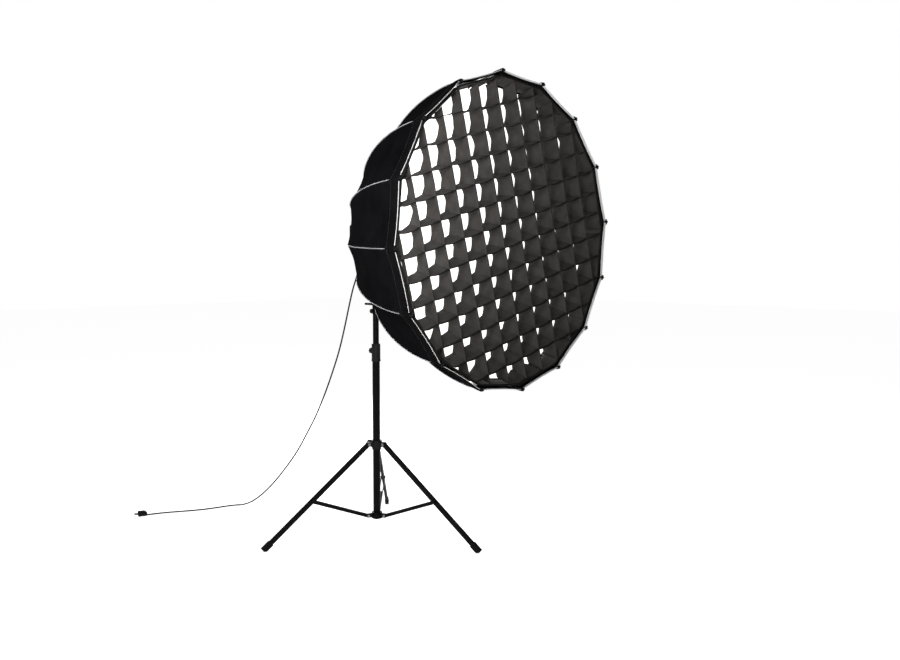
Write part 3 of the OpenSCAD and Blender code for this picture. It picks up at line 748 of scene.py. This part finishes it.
def collar_piece():
    """Elastic collar that gathers the skin round the ring."""
    b = Build()
    rows, uvs = [], []
    for k in range(COLLAR_SPANS + 1):
        t = k / COLLAR_SPANS
        swell = math.sin(math.pi * t)
        row, uv = [], []
        for j in range(COLLAR_SIDES):
            a = 2 * math.pi * j / COLLAR_SIDES
            r = COLLAR_R + COLLAR_SWELL * swell + 0.0010 * math.sin(a * COLLAR_GATHERS) * swell
            row.append(on_box(r * math.cos(a), r * math.sin(a), RING_U - 0.0050 - 0.010 * t))
            uv.append((a * ROOT_R, t * 0.012))
        rows.append(row)
        uvs.append(uv)
    b.grid(rows, uvs, closed=True)
    piece = b.object("ring_collar", [WEBBING])
    thicken(piece, 0.0008)
    return piece


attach(collar_piece(), "softbox")

# ---- diffusers ----


def polygon_radius(corner, angle):
    """Radius of the sixteen-sided outline at an angle from the first corner."""
    a = (angle % STEP) - STEP / 2
    return corner * math.cos(STEP / 2) / math.cos(a)


SHEET_RINGS, SHEET_SIDES = 22, SIDES * 6
SHEET_HOLE = 0.004       # of the radius, closed by one face at the middle


def flat_sheet(name, corner, u, sag, material):
    """Stretched sheet with sixteen corners, slightly slack, creased towards the corners."""
    count = SHEET_SIDES
    rows, uvs = [], []
    for k in range(SHEET_RINGS + 1):
        f = SHEET_HOLE + (1 - SHEET_HOLE) * k / SHEET_RINGS
        row, uv = [], []
        for j in range(count):
            a = 2 * math.pi * j / count
            r = polygon_radius(corner, a) * f
            x, y = r * math.cos(a + math.pi / 2), r * math.sin(a + math.pi / 2)
            crease = 0.0012 * noise.noise(Vector((a * 14, f * 2.0, corner * 9))) * f ** 2 * (1 - f ** 8)
            hang = -sag * (1 - f * f) * (1 + 0.15 * noise.noise(Vector((x * 5, y * 5, 0))))
            row.append(on_box(x, y, u + hang + crease))
            uv.append((x, y))
        rows.append(row)
        uvs.append(uv)
    b = Build()
    b.grid(rows, uvs, closed=True, flip=True)
    b.add(rows[0], [list(range(count))], uvs[0])
    piece = b.object(name, [material])
    thicken(piece, 0.0005)
    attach(piece, "softbox")
    return piece, rows[-1]


def binding(name, outline, width):
    """Tape folded over the edge of a sheet."""
    centre = sum(outline, Vector()) / len(outline)
    forwards = on_box(0, 0, 1) - on_box(0, 0, 0)
    rows = []
    for off, lift in ((width, 0.0007), (0.0, 0.0010), (-0.0008, 0.0), (0.0, -0.0010), (width, -0.0007)):
        rows.append([p + (centre - p).normalized() * off + forwards * lift for p in outline])
    b = Build()
    b.grid(rows, closed=True)
    piece = b.object(name, [BORDER_CLOTH])
    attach(piece, "softbox")
    return piece


DIFFUSER_U, DIFFUSER_R = GRID_FRONT - GRID_DEPTH - 0.007, 0.578
diffuser, outline = flat_sheet("front_diffuser_cloth", DIFFUSER_R, DIFFUSER_U, 0.004, DIFFUSER)
diffuser_tape = binding("front_diffuser_tape", outline, 0.012)
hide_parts("front_diffuser")

BAFFLE_U, BAFFLE_R = RIM_U - 0.3295, 0.452
baffle, outline = flat_sheet("inner_baffle_cloth", BAFFLE_R, BAFFLE_U, 0.006, BAFFLE)
baffle_tape = binding("inner_baffle_tape", outline, 0.018)
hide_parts("inner_baffle")

# ---- grid of crossed strips ----

GRID_CORNER = 0.582
GRID_SHIFT = 0.0045
UPRIGHTS = [k + 0.5 for k in range(-6, 6)]
LEVELS = [k + 0.5 for k in range(-7, 7)]
PER_CELL, DEEP = 12, 6   # points along one cell, and steps from front to rear
UPRIGHT_SHADE_SHIFT = 0.0075     # shifts the uprights' v back, so the painted edge shade falls mostly on the horizontal strips
LEAN_X, LEAN_Y = -0.010, 0.017   # how far the rear edges are pulled sideways and up
LOOSE = 0.014            # uneven bulge of the outer cells


def in_grid(x, y, u):
    """Point at x and y along the grid's own cells."""
    c, s = math.cos(GRID_TURN), math.sin(GRID_TURN)
    return on_box(x * c - y * s, x * s + y * c, u)


def reach(start, direction, corner):
    """Distance from a start point to the sixteen-sided outline, both in the grid's own directions."""
    best = 1e9
    for k in range(SIDES):
        a = math.pi / 2 + (k + 0.5) * STEP - GRID_TURN
        facing = direction[0] * math.cos(a) + direction[1] * math.sin(a)
        if facing > 1e-6:
            off = corner * math.cos(STEP / 2) - start[0] * math.cos(a) - start[1] * math.sin(a)
            best = min(best, off / facing)
    return best


def strip_depth(x, y):
    """Depth of the cloth, less where the strips run out to the border, and least at the upper left."""
    away = smoothstep(0.38, 0.56, math.hypot(x, y))
    return GRID_DEPTH * (1 - 0.12 * away - 0.30 * away * smoothstep(0.1, 0.5, (y - x) / math.sqrt(2)))


def cell_noise(i, j, salt):
    return noise.cell(Vector((i * 1.37 + 0.5, j * 2.11 + 0.5, salt * 3.3)))


def bulge(upright, w, arch, slack):
    """How far the slack cloth of one cell swings out of its line, at a share w of its depth."""
    if upright:
        return (0.0010 + 0.0100 * w ** 1.3) * arch * slack
    return -(0.0048 + 0.0020 * w) * arch * slack


def crease(x, y, f, w, side, arch):
    """Zigzag fold across a cell, deeper towards the lower right."""
    deep = 0.0045 + 0.0050 * smoothstep(0.0, 0.45, (x - y) / math.sqrt(2))
    return deep * (abs(((f + 0.8 * w + 0.3 * side) * 2) % 1 - 0.5) - 0.25) * arch * (0.4 + w)


def strip_rows(fixed, upright):
    """Rows of points from the front edge to the rear edge of one strip, and their (u, v)."""
    pitch = CELL_H if upright else CELL_W
    at = fixed * CELL_W + GRID_SHIFT if upright else fixed * CELL_H
    way = (0, 1) if upright else (1, 0)
    start = (at, 0) if upright else (0, at)
    high = reach(start, way, GRID_CORNER)
    low = -reach(start, (-way[0], -way[1]), GRID_CORNER)
    count = max(8, int(round((high - low) / pitch * PER_CELL)))
    rows, uvs = [[] for _ in range(DEEP + 1)], [[] for _ in range(DEEP + 1)]
    for k in range(count + 1):
        along = low + (high - low) * k / count
        place = (along if upright else along - GRID_SHIFT) / pitch + 0.5
        cell = math.floor(place)
        f = place - cell
        x, y = (at, along) if upright else (along, at)
        slack = 0.65 + 0.7 * abs(cell_noise(fixed, cell, 1 if upright else 2))
        side = cell_noise(fixed, cell, 5)
        outer = smoothstep(0.36, 0.56, math.hypot(at, along))
        arch = math.sin(math.pi * f)
        ends = smoothstep(0, 0.02, high - along) * smoothstep(0, 0.02, along - low)
        for d in range(DEEP + 1):
            w = d / DEEP
            push = bulge(upright, w, arch, slack) + crease(x, y, f, w, side, arch)
            push = (push + LOOSE * outer * w * arch * side) * ends
            back = strip_depth(x, y) * w * (1 - (0.06 if upright else 0.02) * arch)
            small = 1 - GRID_TAPER * w
            out_x, out_y = (push, 0) if upright else (0, push)
            rows[d].append(in_grid(small * (x + out_x) + LEAN_X * w * ends,
                                   small * (y + out_y) + LEAN_Y * w * ends, GRID_FRONT - back))
            # the uprights' v starts further back, so they get little of the painted edge shade
            uvs[d].append((along, w * GRID_DEPTH + (UPRIGHT_SHADE_SHIFT if upright else 0)))
    return rows, uvs


def grid_piece():
    """All the crossed strips as one cloth, and the length of its strips added up."""
    b = Build()
    run = 0.0
    for upright, lines in ((True, UPRIGHTS), (False, LEVELS)):
        for fixed in lines:
            rows, uvs = strip_rows(fixed, upright)
            b.grid(rows, uvs)
            run += (rows[0][-1] - rows[0][0]).length
    return b.object("grid_strips", [GRID_CLOTH]), run


grid_strips, GRID_RUN = grid_piece()
thicken(grid_strips, 0.0007)
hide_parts("grid")
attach(grid_strips, "grid")

# Section of the border: distance in front of the grid's front, and out from its outline
BORDER_SECTION = [(-0.003, 0.0), (-0.0006, 0.0008), (-0.0006, 0.0042), (-0.004, 0.0060), (-0.014, 0.0040),
                  (-0.034, -0.001), (-0.058, -0.007), (-0.076, -0.011)]
BORDER_SIDES = SIDES * 12
BORDER_R = 0.58          # its mean radius, for the weave


def border_piece():
    """Cloth wall round the strips, with a folded, hemmed front edge, which the grid cloth's painted shade
    darkens.
    """
    b = Build()
    rows, uvs = [], []
    for du, dr in BORDER_SECTION:
        row, uv = [], []
        for j in range(BORDER_SIDES):
            a = 2 * math.pi * j / BORDER_SIDES
            ripple = 0.0012 * noise.noise(Vector((a * 20, du * 60, 1.0)))
            r = polygon_radius(GRID_CORNER, a) + dr + ripple
            row.append(on_box(r * math.cos(a + math.pi / 2), r * math.sin(a + math.pi / 2), GRID_FRONT + du))
            uv.append((a * BORDER_R, 0.004 - du))
        rows.append(row)
        uvs.append(uv)
    b.grid(rows, uvs, closed=True)
    piece = b.object("grid_border", [GRID_CLOTH])
    thicken(piece, 0.0008)
    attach(piece, "grid")
    return piece


grid_border = border_piece()

# ---- finishes on the CAD parts ----

LEGS = ["leg_1", "leg_2", "leg_3", "brace_1", "brace_2", "brace_3"]
FEET = ["foot_1", "foot_2", "foot_3"]
KNOBS = ["section_knob", "collar_knob", "receiver_knob", "tilt_lever", "dial"]
FINISH = {
    STAND_BLACK: ["foot_hub", *LEGS, "yoke", "receiver", "receiver_screw", "spigot"],
    TUBE_BLACK: ["base_tube", "riser_tube"],
    MOULDED: ["section_collar", "leg_collar", "riser_bush", "rear_cover", "cable_gland", "rib_tips",
              "power_switch", "fan_rotor", "release_lever"],
    KNOB: KNOBS,
    RUBBER: FEET,
    LAMP_SHELL: ["lamp_housing", "speedring"],
    ZINC: ["hub_pins", "collar_pins", "pivot_bolts", "cover_screws"],
    BARE: ["mount_ring", "heat_sink", "bayonet_adapter"],
    RIB_ROD: ["rib_pair_%d" % k for k in range(1, 9)],
    GLASS: ["lamp_glass"],
    LED: ["led_emitter"],
    SCREEN: ["display"],
}
for finish, names in FINISH.items():
    for name in names:
        part = NODES[name]
        part.data.materials.clear()
        part.data.materials.append(finish)

SOFTENED = ["foot_hub", *LEGS, "yoke", "section_collar", "leg_collar", "receiver", "lamp_housing",
            "rear_cover", "speedring", *FEET, *KNOBS, "rib_tips"]
for name in SOFTENED:
    bevel = NODES[name].modifiers.new("soft edges", "BEVEL")
    bevel.width = 0.0006
    bevel.segments = 2
    bevel.limit_method = "ANGLE"
    bevel.angle_limit = math.radians(45)
    bevel.harden_normals = True

# ---- floor and light ----


FLOOR_GLOW, SKY_LIGHT = 0.92, 0.07


def floor_material():
    """Plain pale floor that glows as bright as the backdrop."""
    m, tree, shader = new_material("floor")
    where = node(tree, "ShaderNodeTexCoord").outputs["Object"]
    tone = ramp(tree, noise_on(tree, where, 3), [(0.3, (0.86, 0.86, 0.86)), (0.7, (0.89, 0.89, 0.89))])
    tree.links.new(tone, shader.inputs["Base Color"])
    tree.links.new(to_range(tree, noise_on(tree, where, 12), 0.7, 0.8), shader.inputs["Roughness"])
    shader.inputs["Emission Color"].default_value = (1, 1, 1, 1)
    shader.inputs["Emission Strength"].default_value = FLOOR_GLOW
    return m


bpy.ops.mesh.primitive_plane_add(size=40, location=(0, 0, -0.0005))
floor = bpy.context.object
floor.name = "floor"
floor.data.materials.append(floor_material())

# White backdrop behind the object that adds only a little light to it
world = bpy.data.worlds.new("studio")
bpy.context.scene.world = world
world.use_nodes = True
sky = world.node_tree
seen, lit = sky.nodes["Background"], sky.nodes.new("ShaderNodeBackground")
seen.inputs["Color"].default_value = lit.inputs["Color"].default_value = (1.0, 1.0, 1.0, 1)
seen.inputs["Strength"].default_value, lit.inputs["Strength"].default_value = 1.0, SKY_LIGHT
rays, choose = sky.nodes.new("ShaderNodeLightPath"), sky.nodes.new("ShaderNodeMixShader")
sky.links.new(rays.outputs["Is Camera Ray"], choose.inputs[0])
sky.links.new(lit.outputs[0], choose.inputs[1])
sky.links.new(seen.outputs[0], choose.inputs[2])
sky.links.new(choose.outputs[0], sky.nodes["World Output"].inputs["Surface"])


def area_light(name, at, towards, size, power, spread=180):
    """Soft light in watts, aimed at a point; spread is its beam in degrees."""
    data = bpy.data.lights.new(name, "AREA")
    data.spread = math.radians(spread)
    data.shape, data.size, data.size_y, data.energy = "RECTANGLE", size[0], size[1], power
    made = bpy.data.objects.new(name, data)
    bpy.context.collection.objects.link(made)
    made.location = at
    made.rotation_euler = (Vector(towards) - Vector(at)).to_track_quat("-Z", "Y").to_euler()


area_light("key", (-1.9, -1.7, 1.6), (-0.62, -0.35, 1.42), (0.7, 0.7), 13.5, spread=66)
area_light("front_fill", (-0.4, -4.4, 1.6), (0, -0.6, 1.2), (2.4, 1.8), 3)
area_light("back_fill", (2.2, 3.0, 2.2), (0, 0, 1.1), (2.0, 2.0), 130)
area_light("overhead", (-0.4, 0.2, 4.6), (-0.4, 0.2, 0), (4.5, 4.5), 40)
